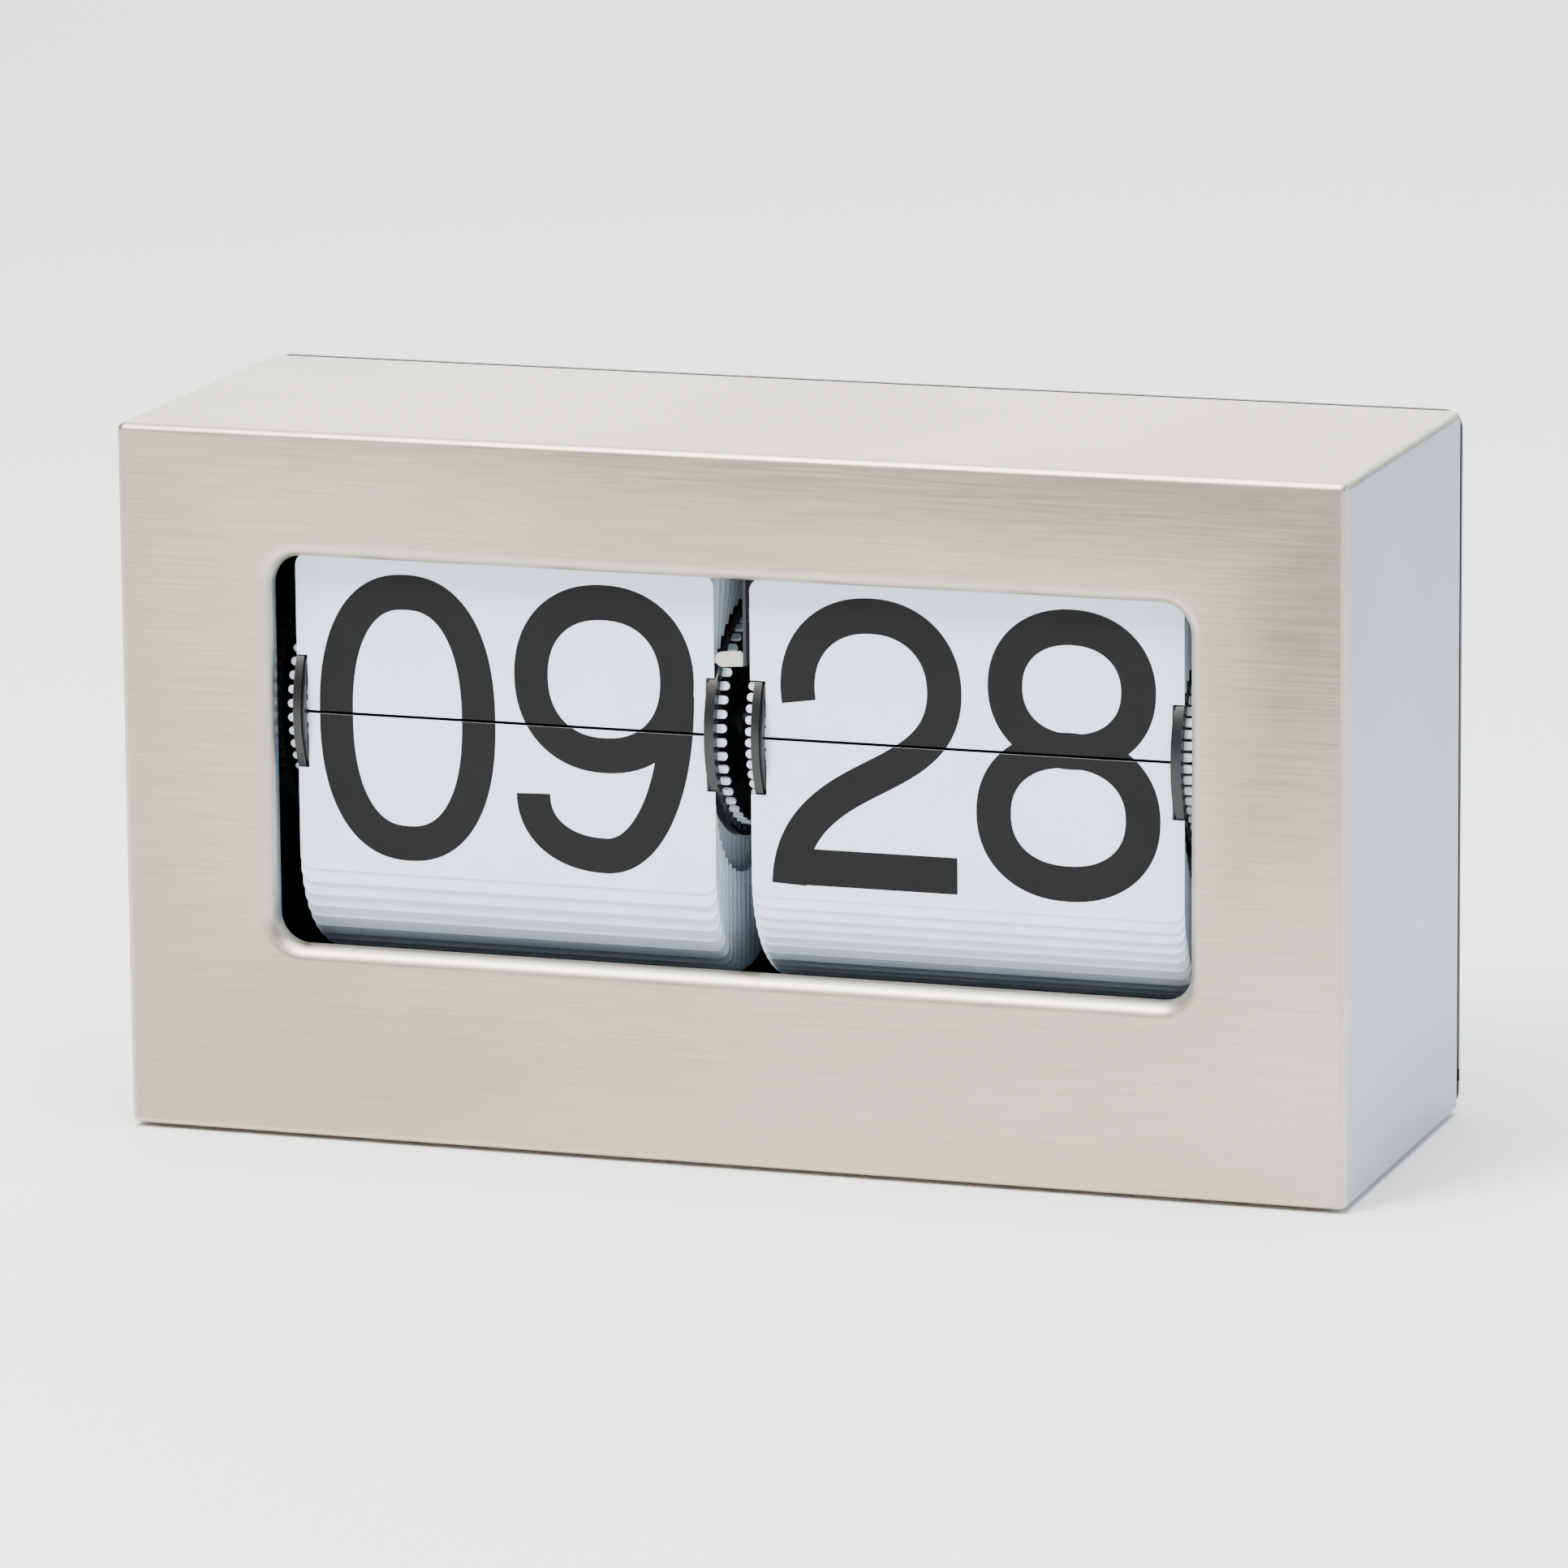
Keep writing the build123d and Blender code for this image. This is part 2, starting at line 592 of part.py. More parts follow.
for drum, bore in ((HOUR, AXLE_R + RUNNING), (MINUTE, AXLE_R)):
    for side, word in ((-1, "left"), (1, "right")):
        keep(flange(drum, side, bore), f"{drum.name}_{word}_flange")
        keep(tabs(drum, side), f"{drum.name}_{word}_tabs")
    with BuildPart() as core:
        core_x0 = drum.left + FLANGE_W
        core_x1 = drum.right - FLANGE_W
        disc(core_x0, core_x1, AXIS_Y, AXIS_Z, CORE_R)
        disc(core_x0, core_x1, AXIS_Y, AXIS_Z, CORE_R - CORE_WALL, mode=Mode.SUBTRACT)
    keep(core, f"{drum.name}_drum_core")

# ---- hour train on the left ---------------------------------------------------------------
HOUR_GEAR_X0 = -76.6
HOUR_GEAR_X1 = -75.0
OUTER_GEAR_X0 = -79.2
OUTER_GEAR_X1 = -77.6

with BuildPart() as hour_gear:
    gear(HOUR_GEAR_X0, HOUR_GEAR_X1, AXIS_Y, AXIS_Z, HOUR_GEAR_T, INNER_MODULE)
    disc(HOUR_GEAR_X0, HOUR.left, AXIS_Y, AXIS_Z, HUB_R)
    disc(HOUR_GEAR_X0, HOUR.left, AXIS_Y, AXIS_Z, AXLE_R + RUNNING, mode=Mode.SUBTRACT)
keep(hour_gear, "hour_gear")

with BuildPart() as hour_idler:
    gear(OUTER_GEAR_X0, OUTER_GEAR_X1, IDLER_Y, AXIS_Z, IDLER_WHEEL_T, OUTER_MODULE, 180.0)
    gear(OUTER_GEAR_X1, HOUR_GEAR_X1, IDLER_Y, AXIS_Z, IDLER_PINION_T, INNER_MODULE, 180.0 / IDLER_PINION_T)
    disc(OUTER_GEAR_X0, HOUR_GEAR_X1, IDLER_Y, AXIS_Z, IDLER_PIN_R + RUNNING, mode=Mode.SUBTRACT)
keep(hour_idler, "hour_idler")

with BuildPart() as idler_pin:
    disc(-BRACKET_X - BRACKET_T, HOUR_GEAR_X1 + 0.6, IDLER_Y, AXIS_Z, IDLER_PIN_R)
    disc(HOUR_GEAR_X1 + 0.1, HOUR_GEAR_X1 + 0.6, IDLER_Y, AXIS_Z, 1.9)
keep(idler_pin, "idler_pin")

with BuildPart() as axle_pinion:
    gear(OUTER_GEAR_X0, OUTER_GEAR_X1, AXIS_Y, AXIS_Z, AXLE_PINION_T, OUTER_MODULE, 180.0 / AXLE_PINION_T)
    disc(OUTER_GEAR_X0, OUTER_GEAR_X1, AXIS_Y, AXIS_Z, AXLE_R, mode=Mode.SUBTRACT)
keep(axle_pinion, "axle_pinion")

AXLE_END = BRACKET_X + BRACKET_T + 1.6
AXLE_CLIP_R = 3.2
with BuildPart() as axle:
    disc(-AXLE_END, AXLE_END, AXIS_Y, AXIS_Z, AXLE_R)
keep(axle, "axle")

with BuildPart() as axle_clips:
    for side in (-1, 1):
        x0, x1 = sorted((side * (BRACKET_X + BRACKET_T + 0.1), side * (BRACKET_X + BRACKET_T + 0.7)))
        disc(x0, x1, AXIS_Y, AXIS_Z, AXLE_CLIP_R)
        disc(x0, x1, AXIS_Y, AXIS_Z, AXLE_R, mode=Mode.SUBTRACT)
keep(axle_clips, "axle_clips")

# ---- minute drive and setting wheel on the right ------------------------------------------
DRIVE_X0 = 75.6
DRIVE_X1 = 77.6

with BuildPart() as minute_gear:
    gear(DRIVE_X0, DRIVE_X1, AXIS_Y, AXIS_Z, DRIVE_GEAR_T, DRIVE_MODULE)
    disc(MINUTE.right, DRIVE_X1, AXIS_Y, AXIS_Z, HUB_R)
    disc(MINUTE.right, DRIVE_X1, AXIS_Y, AXIS_Z, AXLE_R, mode=Mode.SUBTRACT)
keep(minute_gear, "minute_gear")

with BuildPart() as setting_gear:
    half_tooth = 180.0 / SETTING_GEAR_T
    gear(DRIVE_X0, DRIVE_X1, SETTING_Y, AXIS_Z, SETTING_GEAR_T, DRIVE_MODULE, 180.0 + half_tooth)
    disc(DRIVE_X0, DRIVE_X1, SETTING_Y, AXIS_Z, AXLE_R, mode=Mode.SUBTRACT)
keep(setting_gear, "setting_gear")

with BuildPart() as setting_shaft:
    disc(DRIVE_X0 - 0.4, SLOT_X1, SETTING_Y, AXIS_Z, AXLE_R)
keep(setting_shaft, "setting_shaft")

KNURLS = 48
KNURL_R = 0.7
RIM_WIDTH = 2.4
with BuildPart() as setting_wheel:
    with BuildSketch(at_x(SLOT_X0 + 0.5)):
        with Locations((SETTING_Y, AXIS_Z)):
            Circle(THUMB_R)
            with PolarLocations(THUMB_R + 0.3, KNURLS):
                Circle(KNURL_R, mode=Mode.SUBTRACT)
    extrude(amount=SLOT_X1 - SLOT_X0 - 1.0)
    disc(SLOT_X0 + 2.5, SLOT_X1 - 0.5, SETTING_Y, AXIS_Z, THUMB_R - RIM_WIDTH, mode=Mode.SUBTRACT)
    disc(SLOT_X0 + 0.5, SLOT_X1 - 0.5, SETTING_Y, AXIS_Z, 4.0)
    disc(SLOT_X0 + 0.5, SLOT_X1 - 0.5, SETTING_Y, AXIS_Z, AXLE_R, mode=Mode.SUBTRACT)
keep(setting_wheel, "setting_wheel")

# ---- quartz movement ----------------------------------------------------------------------
MOTOR_WHEEL_X0 = 86.0
MOTOR_WHEEL_X1 = 87.2
MAGNET_X0 = 88.4
MAGNET_X1 = 91.0
MAGNET_R = 3.0
COIL_Z = HOUSING_Z0 + 7.0

with BuildPart() as movement_housing:
    block(HOUSING_X0, HOUSING_X1, HOUSING_Y0, HOUSING_Y1, HOUSING_Z0, HOUSING_Z1)
    fillet(movement_housing.edges().filter_by(Axis.X), 2.5)
    block(
        HOUSING_X0 + HOUSING_WALL,
        HOUSING_X1,
        HOUSING_Y0 + HOUSING_WALL,
        HOUSING_Y1 - HOUSING_WALL,
        HOUSING_Z0 + HOUSING_WALL,
        HOUSING_Z1 - HOUSING_WALL,
        mode=Mode.SUBTRACT,
    )
    disc(HOUSING_X0, HOUSING_X0 + HOUSING_WALL, OUTPUT_Y, OUTPUT_Z, 1.0 + RUNNING, mode=Mode.SUBTRACT)
    disc(HOUSING_X0, HOUSING_X0 + HOUSING_WALL, ROTOR_Y, ROTOR_Z, PIVOT_R + RUNNING, mode=Mode.SUBTRACT)
    for lead_z in LEAD_HEIGHTS:
        disc(HOUSING_X0, HOUSING_X0 + HOUSING_WALL, LEAD_Y, lead_z, LEAD_R + LEAD_PLAY, mode=Mode.SUBTRACT)
keep(movement_housing, "movement_housing")

with BuildPart() as movement_cover:
    block(HOUSING_X1, HOUSING_X1 + HOUSING_WALL, HOUSING_Y0, HOUSING_Y1, HOUSING_Z0, HOUSING_Z1)
    fillet(movement_cover.edges().filter_by(Axis.X), 2.5)
    disc(HOUSING_X1, HOUSING_X1 + 0.8, OUTPUT_Y, OUTPUT_Z, 1.0 + RUNNING, mode=Mode.SUBTRACT)
    disc(HOUSING_X1, HOUSING_X1 + 0.8, ROTOR_Y, ROTOR_Z, PIVOT_R + RUNNING, mode=Mode.SUBTRACT)
keep(movement_cover, "movement_cover")

with BuildPart() as output_arbor:
    disc(DRIVE_X0 - 0.4, HOUSING_X1 + 0.7, OUTPUT_Y, OUTPUT_Z, 1.0)
    mesh_turn = OUTPUT_ANGLE + 180.0 + 180.0 / OUTPUT_PINION_T
    tooth_gap = (OUTPUT_ANGLE * DRIVE_GEAR_T / 360.0) % 1.0 * 360.0 / OUTPUT_PINION_T
    gear(DRIVE_X0, DRIVE_X1, OUTPUT_Y, OUTPUT_Z, OUTPUT_PINION_T, DRIVE_MODULE, mesh_turn + tooth_gap)
    gear(MOTOR_WHEEL_X0, MOTOR_WHEEL_X1, OUTPUT_Y, OUTPUT_Z, MOTOR_WHEEL_T, MOTOR_MODULE, -90.0)
keep(output_arbor, "output_arbor")

with BuildPart() as rotor:
    disc(HOUSING_X0 + 0.1, HOUSING_X1 + 0.7, ROTOR_Y, ROTOR_Z, PIVOT_R)
    gear(85.6, 87.6, ROTOR_Y, ROTOR_Z, ROTOR_PINION_T, MOTOR_MODULE, 90.0 + 180.0 / ROTOR_PINION_T)
    disc(MAGNET_X0, MAGNET_X1, ROTOR_Y, ROTOR_Z, MAGNET_R)
keep(rotor, "rotor")

CORE_HALF = 1.2
with BuildPart() as stator:
    with BuildSketch(at_x(MAGNET_X0 + 0.6)):
        with Locations((ROTOR_Y, (ROTOR_Z + 5.0 + COIL_Z - CORE_HALF) / 2)):
            Rectangle(22.0, ROTOR_Z + 5.0 - COIL_Z + CORE_HALF)
        with Locations((ROTOR_Y, (ROTOR_Z - 4.5 + COIL_Z + CORE_HALF) / 2)):
            Rectangle(15.0, ROTOR_Z - 4.5 - COIL_Z - CORE_HALF, mode=Mode.SUBTRACT)
        with Locations((ROTOR_Y, ROTOR_Z)):
            Circle(MAGNET_R + 0.5, mode=Mode.SUBTRACT)
    extrude(amount=1.2)
keep(stator, "stator")

COIL_R = 3.2
COIL_L = 13.0
with BuildPart() as coil:
    with BuildSketch(at_y(ROTOR_Y + COIL_L / 2)):
        with Locations((MAGNET_X0 + 1.2, COIL_Z)):
            Circle(COIL_R)
            Rectangle(1.4, 2.6, mode=Mode.SUBTRACT)
    extrude(amount=COIL_L)
keep(coil, "coil")

BOARD_X0 = 93.2
BOARD_X1 = 94.2
BOARD_Z1 = HOUSING_Z0 + 16.0
with BuildPart() as circuit_board:
    block(BOARD_X0, BOARD_X1, HOUSING_Y0 + 1.4, HOUSING_Y1 - 1.4, HOUSING_Z0 + 1.4, BOARD_Z1)
    with BuildSketch(at_x(BOARD_X0)):
        with Locations((ROTOR_Y - 9.0, BOARD_Z1 - 4.0)):
            Circle(2.5)
    extrude(amount=-0.8)
keep(circuit_board, "circuit_board")

with BuildPart() as quartz_crystal:
    with BuildSketch(at_y(ROTOR_Y + 1.0)):
        with Locations((BOARD_X1 + 0.8, BOARD_Z1 - 3.0)):
            Circle(0.8)
    extrude(amount=6.0)
keep(quartz_crystal, "quartz_crystal")

MOVEMENT_SCREWS = [(HOUSING_Y0 + 4.0, HOUSING_Z1 - 3.6), (HOUSING_Y1 - 4.0, HOUSING_Z0 + 4.0)]
with BuildPart() as movement_screws:
    with BuildSketch(at_x(HOUSING_X1 + HOUSING_WALL)):
        with Locations(*MOVEMENT_SCREWS):
            Circle(1.9)
    extrude(amount=0.9)
keep(movement_screws, "movement_screws")

# ---- battery and its contacts --------------------------------------------------------------
CELL_X0 = -CELL_L / 2 - 0.75
NUB_R = 4.75
NUB_L = 1.5
LEAF_T = 0.4
PLATE_X = CRADLE_X - LEAF_T
PLATE_FRONT = CELL_Y - CONTACT_HALF_W
PLATE_BACK = CELL_Y + CONTACT_HALF_W
PLATE_FOOT = CELL_Z - CONTACT_HALF_W
LUG_Z = CELL_Z + CONTACT_RISE

with BuildPart() as battery_cell:
    disc(CELL_X0, CELL_X0 + CELL_L, CELL_Y, CELL_Z, CELL_R)
    fillet(battery_cell.edges(), 1.0)
    disc(CELL_X0 + CELL_L, CELL_X0 + CELL_L + NUB_L, CELL_Y, CELL_Z, NUB_R)
keep(battery_cell, "battery_cell")

with BuildPart() as positive_contact:
    block(PLATE_X, CRADLE_X, PLATE_FRONT, PLATE_BACK, PLATE_FOOT, LUG_Z)
    block(PLATE_X, CRADLE_X + LUG_L, CELL_Y - LUG_HALF_W, CELL_Y + LUG_HALF_W, LUG_Z - LEAF_T, LUG_Z)
    disc(CELL_X0 + CELL_L + NUB_L, PLATE_X, CELL_Y, CELL_Z, 2.5)
keep(positive_contact, "positive_contact")

SPRING_WIRE_R = 0.4
SPRING_TURNS = 4
SPRING_R = 7.5
SPRING_TAPER = 1.1
with BuildPart() as negative_contact:
    block(-CRADLE_X, -PLATE_X, PLATE_FRONT, PLATE_BACK, PLATE_FOOT, LUG_Z)
    block(-CRADLE_X - LUG_L, -PLATE_X, CELL_Y - LUG_HALF_W, CELL_Y + LUG_HALF_W, LUG_Z - LEAF_T, LUG_Z)
    for turn in range(SPRING_TURNS):
        ring_x = -PLATE_X + SPRING_WIRE_R * (0.9 + 1.9 * turn)
        with BuildSketch(at_y(CELL_Y)) as wire:
            with Locations((ring_x, CELL_Z + SPRING_R - SPRING_TAPER * turn)):
                Circle(SPRING_WIRE_R)
        coil_axis = Axis((0, CELL_Y, CELL_Z), (1, 0, 0))
        revolve(wire.sketch, axis=coil_axis, revolution_arc=360)
keep(negative_contact, "negative_contact")

# ---- leads from the contacts to the movement's circuit board -------------------------------
SOLDER_X = CRADLE_X + 3.0
SOLDER_Z = LUG_Z - LEAF_T
RISER_X = 69.0


def lead(points):
    """An insulated wire along straight runs joined by bends, starting under a solder lug."""
    with BuildPart() as wire:
        with BuildLine() as path:
            FilletPolyline(*points, radius=LEAD_BEND_R)
        with BuildSketch(Plane(origin=points[0], z_dir=(0, 0, -1))) as section:
            Circle(LEAD_R)
        sweep(section.sketch, path=path.wire())
    length = path.wire().length
    section_area = pi * LEAD_R**2
    print(f"lead {length:.1f} mm long, bends {LEAD_BEND_R:.1f} mm, volume {wire.part.volume:.2f} mm3")
    print(f"section times length {section_area * length:.2f} mm3")
    return wire


positive_run = [
    (SOLDER_X, CELL_Y, SOLDER_Z),
    (SOLDER_X, CELL_Y, POSITIVE_LEAD_Z),
    (SOLDER_X, LEAD_Y, POSITIVE_LEAD_Z),
    (BOARD_X0, LEAD_Y, POSITIVE_LEAD_Z),
]
keep(lead(positive_run), "positive_lead")

FLOOR_RUN_Z = TRAY_TOP + LEAD_R + 0.1
negative_run = [
    (-SOLDER_X, CELL_Y, SOLDER_Z),
    (-SOLDER_X, CELL_Y, FLOOR_RUN_Z),
    (-SOLDER_X, LEAD_Y, FLOOR_RUN_Z),
    (RISER_X, LEAD_Y, FLOOR_RUN_Z),
    (RISER_X, LEAD_Y, NEGATIVE_LEAD_Z),
    (BOARD_X0, LEAD_Y, NEGATIVE_LEAD_Z),
]
keep(lead(negative_run), "negative_lead")
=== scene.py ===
"""Flip number clock: finishes, printed numerals, moulded ribs, studio and camera."""

import bpy
import bmesh
import json
from math import cos, pi, radians, sin
from mathutils import Matrix, Vector


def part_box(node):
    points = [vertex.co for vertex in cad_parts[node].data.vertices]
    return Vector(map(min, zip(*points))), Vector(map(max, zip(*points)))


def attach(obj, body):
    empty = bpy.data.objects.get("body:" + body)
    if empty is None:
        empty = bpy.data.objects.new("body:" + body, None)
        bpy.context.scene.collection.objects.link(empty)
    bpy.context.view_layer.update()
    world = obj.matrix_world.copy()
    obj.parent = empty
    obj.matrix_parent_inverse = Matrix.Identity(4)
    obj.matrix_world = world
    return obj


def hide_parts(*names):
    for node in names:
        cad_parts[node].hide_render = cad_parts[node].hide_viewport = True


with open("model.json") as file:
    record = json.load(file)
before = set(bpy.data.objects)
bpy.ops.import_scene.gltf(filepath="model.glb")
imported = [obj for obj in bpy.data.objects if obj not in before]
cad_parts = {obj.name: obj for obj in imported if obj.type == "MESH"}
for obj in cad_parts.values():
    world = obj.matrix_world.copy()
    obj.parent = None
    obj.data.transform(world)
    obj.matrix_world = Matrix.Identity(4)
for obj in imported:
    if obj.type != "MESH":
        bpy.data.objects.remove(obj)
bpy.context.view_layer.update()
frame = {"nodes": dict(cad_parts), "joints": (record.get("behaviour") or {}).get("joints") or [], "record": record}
MM = 0.001

# ---- places read from the frame ------------------------------------------------------------
joints = {joint["name"]: joint for joint in frame["joints"]}
AXIS = Vector(joints["minute_drum_turn"]["pos_m"])
DRUMS = {
    "hour": {"flaps": 48, "numerals": "09", "next": "09"},
    "minute": {"flaps": 60, "numerals": "28", "next": "29"},
}
for drum_name, drum in DRUMS.items():
    flap_low, flap_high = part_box(f"{drum_name}_front_flap")
    drum["middle"] = (flap_low[0] + flap_high[0]) / 2
    drum["front_y"] = flap_low[1]
    drum["back_y"] = flap_high[1]
    drum["plane_y"] = (flap_low[1] + flap_high[1]) / 2
    drum["pivot_z"] = joints[f"{drum_name}_flap_drop"]["pos_m"][2]
    drum["low_pivot_z"] = 2 * AXIS.z - drum["pivot_z"]


# ---- colour and node helpers ---------------------------------------------------------------
def srgb(hex_code):
    """A hex colour as the linear RGBA that a shader socket takes."""
    channels = [int(hex_code[i : i + 2], 16) / 255 for i in (0, 2, 4)]
    linear = [c / 12.92 if c <= 0.04045 else ((c + 0.055) / 1.055) ** 2.4 for c in channels]
    return (*linear, 1.0)


def add(tree, kind, settings=None, **inputs):
    """Add one node, with its settings, and its inputs as values or as links from sockets."""
    node = tree.nodes.new(kind)
    for name, value in (settings or {}).items():
        setattr(node, name, value)
    for name, value in inputs.items():
        key = int(name[1:]) if name[0] == "i" and name[1:].isdigit() else name.replace("_", " ")
        socket = node.inputs[key]
        if isinstance(value, bpy.types.NodeSocket):
            tree.links.new(value, socket)
        else:
            socket.default_value = value
    return node


def new_material(name, **constants):
    """A material with one Principled shader, its constants set on the shader's own sockets."""
    material = bpy.data.materials.new(name)
    material.use_nodes = True
    shader = material.node_tree.nodes["Principled BSDF"]
    for socket, value in constants.items():
        shader.inputs[socket.replace("_", " ")].default_value = value
    return material, material.node_tree, shader


GLOSS_SPREAD = 0.08


def finish(name, dark, light, gloss, grain, depth, stretch=(1, 1, 1), cloud=60.0, **constants):
    """A finish: two tones in slow clouds, and a fine grain of real depth in gloss and relief."""
    material, tree, shader = new_material(name, **constants)
    coords = add(tree, "ShaderNodeTexCoord").outputs["Object"]
    drawn = add(tree, "ShaderNodeMapping", Vector=coords, Scale=stretch).outputs[0]
    slow = add(tree, "ShaderNodeTexNoise", Vector=coords, Scale=cloud, Detail=2.0).outputs[0]
    fine = add(tree, "ShaderNodeTexNoise", Vector=drawn, Scale=grain, Detail=3.0).outputs[0]
    tone = add(tree, "ShaderNodeMix", {"data_type": "RGBA"}, i0=slow, i6=srgb(dark), i7=srgb(light))
    dull, bright = gloss + GLOSS_SPREAD, gloss - GLOSS_SPREAD
    rough = add(tree, "ShaderNodeMapRange", Value=fine, To_Min=bright, To_Max=dull)
    relief = add(tree, "ShaderNodeBump", Height=fine, Distance=depth)
    tree.links.new(tone.outputs[2], shader.inputs["Base Color"])
    tree.links.new(rough.outputs[0], shader.inputs["Roughness"])
    tree.links.new(relief.outputs[0], shader.inputs["Normal"])
    return material


# ---- finishes ------------------------------------------------------------------------------
# brush strokes to the metre: each is about 16 mm long and 0.4 mm wide
STROKES_ALONG = 1 / 0.016
STROKES_ACROSS = 1 / 0.0004
STROKE_DEPTH = 0.00001
PATCH_SCALE = 14.0
SHEET_ROUGH = (0.26, 0.48)
FOLD_ROUGH = 0.42
# the largest part of a unit normal where the sheet is flat, and where a fold has its own tone
FLAT_SHEET = 0.995
FOLDED_EDGE = 0.93
SIDE_FACING = 0.7


def brushed_stainless():
    # Belt-brushed stainless sheet, brushed along the width on the front and top and upright on
    # the sides, which get a cooler painted reflection tone; the folded edges have one even tone and roughness.
    material, tree, shader = new_material("brushed_stainless_sheet", Metallic=1.0, Anisotropic=0.4)
    place = add(tree, "ShaderNodeTexCoord").outputs
    along = (STROKES_ALONG, STROKES_ACROSS, STROKES_ACROSS)
    upright = (STROKES_ACROSS, STROKES_ACROSS, STROKES_ALONG)
    grains = []
    for stretch in (along, upright):
        drawn = add(tree, "ShaderNodeMapping", Vector=place["Object"], Scale=stretch).outputs[0]
        grains.append(add(tree, "ShaderNodeTexNoise", Vector=drawn, Scale=1.0, Detail=4.0).outputs[0])
    facing = add(tree, "ShaderNodeVectorMath", {"operation": "ABSOLUTE"}, i0=place["Normal"]).outputs[0]
    axes = add(tree, "ShaderNodeSeparateXYZ", Vector=facing).outputs
    side = add(tree, "ShaderNodeMath", {"operation": "GREATER_THAN"}, i0=axes["X"], i1=SIDE_FACING).outputs[0]
    grain = add(tree, "ShaderNodeMix", i0=side, i2=grains[0], i3=grains[1]).outputs[0]
    # highlights spread across the strokes
    across = add(tree, "ShaderNodeMix", {"data_type": "VECTOR"}, i0=side, i4=(0, 1, 1), i5=(0, 1, 0))
    flat = add(tree, "ShaderNodeMath", {"operation": "MAXIMUM"}, i0=axes["X"], i1=axes["Y"]).outputs[0]
    flat = add(tree, "ShaderNodeMath", {"operation": "MAXIMUM"}, i0=flat, i1=axes["Z"]).outputs[0]
    edge = add(
        tree, "ShaderNodeMapRange", Value=flat, From_Min=FLAT_SHEET, From_Max=FOLDED_EDGE
    ).outputs[0]
    patches = add(
        tree, "ShaderNodeTexNoise", Vector=place["Object"], Scale=PATCH_SCALE, Detail=2.0
    ).outputs[0]
    mixed = add(tree, "ShaderNodeMath", {"operation": "ADD"}, i0=grain, i1=patches).outputs[0]
    mixed = add(tree, "ShaderNodeMapRange", Value=mixed, From_Min=0.7, From_Max=1.3).outputs[0]
    warm = add(tree, "ShaderNodeMix", {"data_type": "RGBA"}, i0=mixed, i6=srgb("A69C8D"), i7=srgb("C0B6A7"))
    # painted reflection: the sides get a cooler tone of the same steel, as if they mirrored cooler surroundings
    painted_cool_side_reflection = add(tree, "ShaderNodeMix", {"data_type": "RGBA"}, i0=mixed, i6=srgb("8F979D"), i7=srgb("A9B1B8"))
    tone = add(
        tree, "ShaderNodeMix", {"data_type": "RGBA"}, i0=side, i6=warm.outputs[2], i7=painted_cool_side_reflection.outputs[2]
    )
    colour = add(
        tree, "ShaderNodeMix", {"data_type": "RGBA"}, i0=edge, i6=tone.outputs[2], i7=srgb("BDB6AA")
    )
    bright, dull = SHEET_ROUGH
    rough = add(tree, "ShaderNodeMapRange", Value=grain, To_Min=bright, To_Max=dull).outputs[0]
    rough = add(tree, "ShaderNodeMix", i0=edge, i2=rough, i3=FOLD_ROUGH).outputs[0]
    relief = add(tree, "ShaderNodeBump", Height=grain, Distance=STROKE_DEPTH)
    tree.links.new(across.outputs[1], shader.inputs["Tangent"])
    tree.links.new(colour.outputs[2], shader.inputs["Base Color"])
    tree.links.new(rough, shader.inputs["Roughness"])
    tree.links.new(relief.outputs[0], shader.inputs["Normal"])
    return material


JACKET_BAND_X = 14.0 * MM


def printed_jacket():
    # Shrink-fitted printed film round the cell: a plain slate body with a pale grey end band.
    material, tree, shader = new_material("printed_cell_jacket", IOR=1.5, Coat_Weight=0.5)
    coords = add(tree, "ShaderNodeTexCoord").outputs["Object"]
    along = add(tree, "ShaderNodeSeparateXYZ", Vector=coords).outputs["X"]
    band = add(tree, "ShaderNodeMath", {"operation": "GREATER_THAN"}, i0=along, i1=JACKET_BAND_X).outputs[0]
    tone = add(tree, "ShaderNodeMix", {"data_type": "RGBA"}, i0=band, i6=srgb("2A3138"), i7=srgb("A3A8AC"))
    scuffs = add(tree, "ShaderNodeTexNoise", Vector=coords, Scale=300.0, Detail=3.0).outputs[0]
    rough = add(tree, "ShaderNodeMapRange", Value=scuffs, To_Min=0.22, To_Max=0.34).outputs[0]
    tree.links.new(tone.outputs[2], shader.inputs["Base Color"])
    tree.links.new(rough, shader.inputs["Roughness"])
    return material


# a wave texture has 20 / 2 pi bands to its unit, so this scale sets one every 0.6 mm
WINDING_SCALE = 520.0
WINDING_DEPTH = 0.00008


def enamelled_winding():
    # Enamelled copper wire in close turns, drawn about 0.6 mm apart: coarser than such fine wire
    # is, so that the turns show; each turn is painted dark in its groove and light along its crown, painted shade
    # and painted highlight.
    material, tree, shader = new_material("enamelled_copper_winding", Metallic=1.0, Roughness=0.32)
    coords = add(tree, "ShaderNodeTexCoord").outputs["Object"]
    turn_relief_and_painted_shade = add(
        tree,
        "ShaderNodeTexWave",
        {"bands_direction": "Y"},
        Vector=coords,
        Scale=WINDING_SCALE,
        Distortion=0.4,
    ).outputs["Fac"]
    # painted shade in the grooves between turns and a painted highlight along each turn
    tone = add(tree, "ShaderNodeMix", {"data_type": "RGBA"}, i0=turn_relief_and_painted_shade, i6=srgb("6E3A1C"), i7=srgb("C07A45"))
    relief = add(tree, "ShaderNodeBump", Height=turn_relief_and_painted_shade, Distance=WINDING_DEPTH)
    tree.links.new(tone.outputs[2], shader.inputs["Base Color"])
    tree.links.new(relief.outputs[0], shader.inputs["Normal"])
    return material


